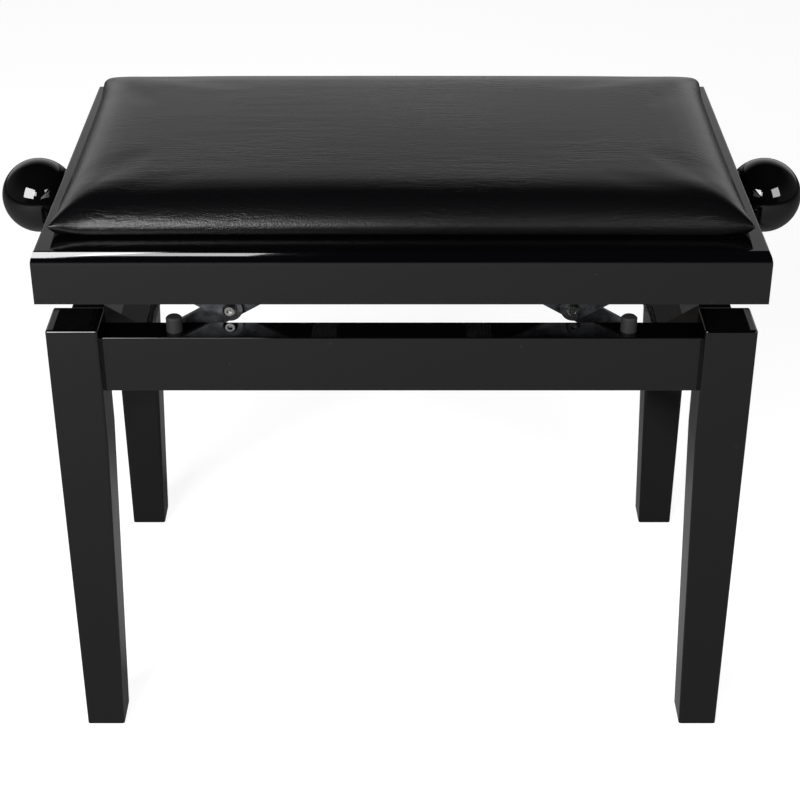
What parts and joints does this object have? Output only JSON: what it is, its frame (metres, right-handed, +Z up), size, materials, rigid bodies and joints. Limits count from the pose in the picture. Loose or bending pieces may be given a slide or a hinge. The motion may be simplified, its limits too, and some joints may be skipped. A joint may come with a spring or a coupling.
{
  "type": "piano bench",
  "caption": "Height-adjustable piano bench: padded seat on a half-scissor lift, driven by a cross spindle with side knobs, on a four-legged lacquered frame.",
  "frame": {"origin": "on the floor under the middle of the bench", "axes": "+Z up, +X towards the right knob, -Y towards the front"},
  "size_m": [0.66, 0.35, 0.4795],
  "materials": {
    "black_lacquer": "high-gloss black polyester lacquer on solid wood",
    "raw_beech": "sanded beech, unfinished",
    "black_stain": "wood stained black, dull, grain just showing",
    "plywood": "birch plywood, unfinished",
    "dark_steel": "black-coated flat steel, slightly mottled",
    "zinc_steel": "bright zinc-plated steel",
    "turned_steel": "turned bright steel with a light oil film",
    "black_rubber": "matte black rubber",
    "black_nylon": "matte black nylon",
    "knob_black": "polished black plastic",
    "leatherette": "fine-grained black artificial leather",
    "foam": "open-cell upholstery foam"
  },
  "bodies": {
    "base": {"leg_front_left": "black_lacquer", "leg_front_right": "black_lacquer", "leg_back_right": "black_lacquer", "leg_back_left": "black_lacquer", "front_apron": "black_lacquer", "right_apron": "black_lacquer", "back_apron": "black_lacquer", "left_apron": "black_lacquer", "apron_dowels": "raw_beech", "corner_blocks": "black_stain", "corner_block_screws": "zinc_steel", "leg_bolts": "zinc_steel", "leg_bolt_nuts": "zinc_steel", "foot_glides": "black_nylon", "seat_buffers": "black_rubber", "left_base_brackets": "dark_steel", "right_base_brackets": "dark_steel", "base_bracket_screws": "zinc_steel", "left_hinge_rod": "turned_steel", "right_hinge_rod": "turned_steel", "hinge_rod_caps": "black_nylon"},
    "seat": {"front_rim": "black_lacquer", "right_rim": "black_lacquer", "back_rim": "black_lacquer", "left_rim": "black_lacquer", "seat_panel": "black_stain", "pad_board": "plywood", "pad_screws": "zinc_steel", "seat_foam": "foam", "seat_cover": "leatherette", "left_seat_brackets": "dark_steel", "right_seat_brackets": "dark_steel", "seat_bracket_screws": "zinc_steel", "seat_pivot_bolts": "zinc_steel", "seat_pivot_nuts": "zinc_steel", "left_spindle_bush": "black_nylon", "right_spindle_bush": "black_nylon", "left_knob_rose": "dark_steel", "right_knob_rose": "dark_steel"},
    "spindle_shaft": {"spindle": "turned_steel", "left_knob": "knob_black", "right_knob": "knob_black", "knob_pins": "zinc_steel", "spindle_collars": "turned_steel"},
    "left_long_arms": {"left_front_long_arm": "dark_steel", "left_back_long_arm": "dark_steel", "left_mid_bolts": "zinc_steel", "left_mid_nuts": "zinc_steel"},
    "left_short_arms": {"left_front_short_arm": "dark_steel", "left_back_short_arm": "dark_steel"},
    "left_nut": {"left_nut_bar": "turned_steel", "left_bar_clips": "zinc_steel"},
    "right_long_arms": {"right_front_long_arm": "dark_steel", "right_back_long_arm": "dark_steel", "right_mid_bolts": "zinc_steel", "right_mid_nuts": "zinc_steel"},
    "right_short_arms": {"right_front_short_arm": "dark_steel", "right_back_short_arm": "dark_steel"},
    "right_nut": {"right_nut_bar": "turned_steel", "right_bar_clips": "zinc_steel"}
  },
  "joints": [
    {"name": "lift", "type": "hinge", "parent": "base", "child": "left_long_arms", "pos_m": [-0.205, 0, 0.341], "axis": [0, -1, 0], "range_deg": [-9.18, 30]},
    {"name": "left_scissor_hinge", "type": "hinge", "parent": "left_long_arms", "child": "left_short_arms", "pos_m": [-0.13399, 0, 0.382], "axis": [0, -1, 0], "range_deg": [-60.01, 18.37]},
    {"name": "left_seat_hinge", "type": "hinge", "parent": "left_short_arms", "child": "seat", "pos_m": [-0.205, 0, 0.423], "axis": [0, -1, 0], "range_deg": [-9.19, 30.01]},
    {"name": "left_nut_trunnion", "type": "hinge", "parent": "left_long_arms", "child": "left_nut", "pos_m": [-0.06297, 0, 0.423], "axis": [0, -1, 0], "range_deg": [-30.01, 9.19]},
    {"name": "right_base_hinge", "type": "hinge", "parent": "base", "child": "right_long_arms", "pos_m": [0.205, 0, 0.341], "axis": [0, 1, 0], "range_deg": [-9.19, 30.01]},
    {"name": "right_scissor_hinge", "type": "hinge", "parent": "right_long_arms", "child": "right_short_arms", "pos_m": [0.13399, 0, 0.382], "axis": [0, 1, 0], "range_deg": [-60.01, 18.37]},
    {"name": "right_nut_trunnion", "type": "hinge", "parent": "right_long_arms", "child": "right_nut", "pos_m": [0.06297, 0, 0.423], "axis": [0, 1, 0], "range_deg": [-30.01, 9.19]},
    {"name": "spindle_turn", "type": "hinge", "parent": "seat", "child": "spindle_shaft", "pos_m": [0, 0, 0.423], "axis": [1, 0, 0], "range_deg": [-2006, 6545]}
  ],
  "couplings": [
    {"joint": "left_scissor_hinge", "follows": "lift", "ratio": -2},
    {"joint": "left_seat_hinge", "follows": "lift", "ratio": 1},
    {"joint": "left_nut_trunnion", "follows": "lift", "ratio": -1},
    {"joint": "right_base_hinge", "follows": "lift", "ratio": 1},
    {"joint": "right_scissor_hinge", "follows": "lift", "ratio": -2},
    {"joint": "right_nut_trunnion", "follows": "lift", "ratio": -1},
    {"joint": "spindle_turn", "follows": "lift", "ratio": 218}
  ]
}
